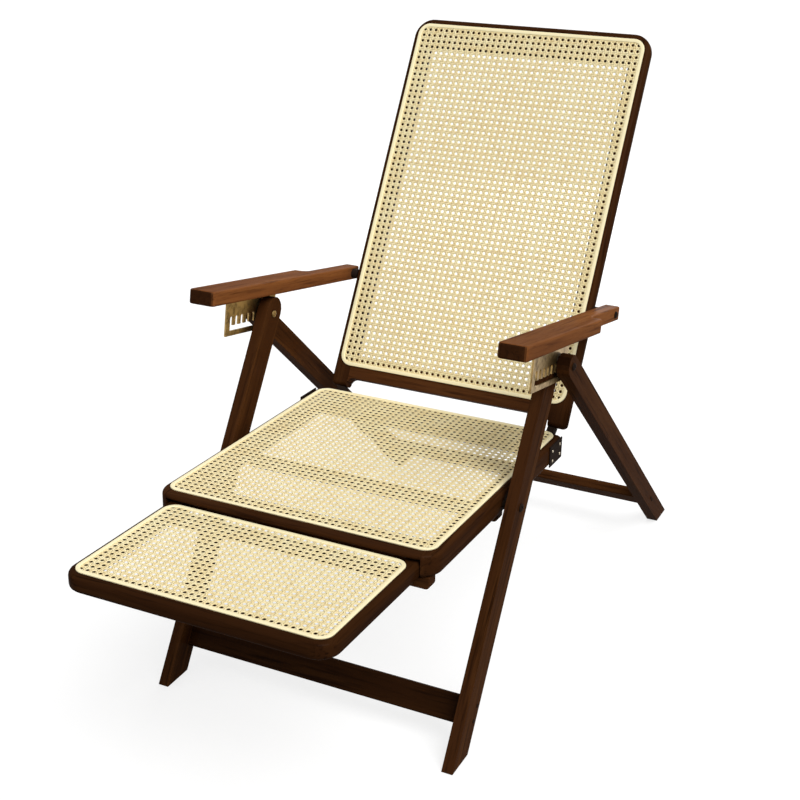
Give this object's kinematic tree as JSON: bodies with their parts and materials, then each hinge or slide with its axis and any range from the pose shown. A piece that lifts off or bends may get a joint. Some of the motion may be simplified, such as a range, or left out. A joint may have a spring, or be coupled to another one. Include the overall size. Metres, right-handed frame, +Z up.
{
  "type": "folding recliner chair",
  "caption": "Folding wooden recliner with cane panels, a pull-out footrest, and armrests on notched plates that set the lean of the backrest.",
  "frame": {"origin": "on the floor, in the middle of the chair's box", "axes": "+X to the right of someone who faces the chair's front, -Y to the front, where the footrest is, +Z up"},
  "size_m": [0.6176, 1.2973, 0.9964],
  "materials": {
    "dark_wood": "satin",
    "cane": "matt woven cane",
    "brass": "satin",
    "dark_iron": "satin"
  },
  "bodies": {
    "front_frame": {"front_leg_left": "dark_wood", "front_leg_right": "dark_wood", "front_rail": "dark_wood", "seat_pivot_bolt_left": "dark_iron", "seat_pivot_bolt_right": "dark_iron"},
    "rear_frame": {"rear_leg_left": "dark_wood", "rear_leg_right": "dark_wood", "rear_rail": "dark_wood", "leg_bolt_outer_left": "dark_iron", "leg_bolt_outer_right": "dark_iron"},
    "seat": {"seat_side_left": "dark_wood", "seat_side_right": "dark_wood", "seat_front_lip": "dark_wood", "seat_rear_rail": "dark_wood", "seat_batten_left": "dark_wood", "seat_batten_right": "dark_wood", "seat_cane_panel": "cane", "seat_corner_plate_left": "dark_iron", "seat_corner_plate_right": "dark_iron", "seat_hinge_bracket_left": "dark_iron", "seat_hinge_bracket_right": "dark_iron", "footrest_front_bar": "dark_wood", "footrest_rear_bar": "dark_wood"},
    "footrest": {"footrest_side_left": "dark_wood", "footrest_side_right": "dark_wood", "footrest_front_rail": "dark_wood", "footrest_rear_rail": "dark_wood", "footrest_cane_panel": "cane"},
    "hinge_pins": {"back_hinge_pin_left": "dark_iron", "back_hinge_pin_right": "dark_iron"},
    "backrest": {"back_stile_left": "dark_wood", "back_stile_right": "dark_wood", "back_top_rail": "dark_wood", "back_bottom_rail": "dark_wood", "back_cane_panel": "cane", "back_hinge_lug_left": "dark_iron", "back_hinge_lug_right": "dark_iron"},
    "arm_bolt_left": {"leg_bolt_inner_left": "brass", "leg_washer_left": "brass"},
    "arm_bolt_right": {"leg_bolt_inner_right": "brass", "leg_washer_right": "brass"},
    "arm_tail_left": {"arm_pivot_bolt_left": "dark_iron", "arm_spacer_left": "dark_iron"},
    "arm_tail_right": {"arm_pivot_bolt_right": "dark_iron", "arm_spacer_right": "dark_iron"},
    "arm_left": {"armrest_left": "dark_wood", "notched_plate_left": "brass"},
    "arm_right": {"armrest_right": "dark_wood", "notched_plate_right": "brass"}
  },
  "joints": [
    {"name": "fold", "type": "hinge", "parent": "front_frame", "child": "seat", "pos_m": [0, -0.11626, 0.352], "axis": [1, 0, 0], "range_deg": [0, 56]},
    {"name": "rear_leg_fold", "type": "hinge", "parent": "front_frame", "child": "rear_frame", "pos_m": [0, 0.01749, 0.5525], "axis": [-1, 0, 0], "range_deg": [0, 78]},
    {"name": "footrest_slide", "type": "slide", "parent": "seat", "child": "footrest", "axis": [0, 0.9995, -0.0325], "range_m": [0, 0.27]},
    {"name": "back_pin_turn", "type": "hinge", "parent": "seat", "child": "hinge_pins", "pos_m": [0, 0.17086, 0.34417], "axis": [1, 0, 0], "range_deg": [-56, 0]},
    {"name": "recline", "type": "hinge", "parent": "hinge_pins", "child": "backrest", "pos_m": [0, 0.17086, 0.34417], "axis": [-1, 0, 0], "range_deg": [0, 15]},
    {"name": "arm_turn_left", "type": "hinge", "parent": "front_frame", "child": "arm_bolt_left", "pos_m": [0, 0.01749, 0.5525], "axis": [1, 0, 0], "range_deg": [0, 56]},
    {"name": "arm_shift_left", "type": "hinge", "parent": "arm_bolt_left", "child": "arm_tail_left", "pos_m": [0, -0.11325, 0.01971], "axis": [-1, 0, 0], "range_deg": [0, 5.4]},
    {"name": "arm_lift_left", "type": "hinge", "parent": "arm_tail_left", "child": "arm_left", "pos_m": [0, 0.30461, 0.54467], "axis": [-1, 0, 0], "range_deg": [0, 3.3]},
    {"name": "arm_turn_right", "type": "hinge", "parent": "front_frame", "child": "arm_bolt_right", "pos_m": [0, 0.01749, 0.5525], "axis": [1, 0, 0], "range_deg": [0, 56]},
    {"name": "arm_shift_right", "type": "hinge", "parent": "arm_bolt_right", "child": "arm_tail_right", "pos_m": [0, -0.11325, 0.01971], "axis": [-1, 0, 0], "range_deg": [0, 5.4]},
    {"name": "arm_lift_right", "type": "hinge", "parent": "arm_tail_right", "child": "arm_right", "pos_m": [0, 0.30461, 0.54467], "axis": [-1, 0, 0], "range_deg": [0, 3.3]}
  ],
  "couplings": [
    {"joint": "back_pin_turn", "follows": "fold", "ratio": -1},
    {"joint": "arm_turn_left", "follows": "fold", "ratio": 1},
    {"joint": "arm_shift_left", "follows": "recline", "ratio": 0.35831},
    {"joint": "arm_turn_right", "follows": "fold", "ratio": 1},
    {"joint": "arm_shift_right", "follows": "recline", "ratio": 0.35831}
  ]
}
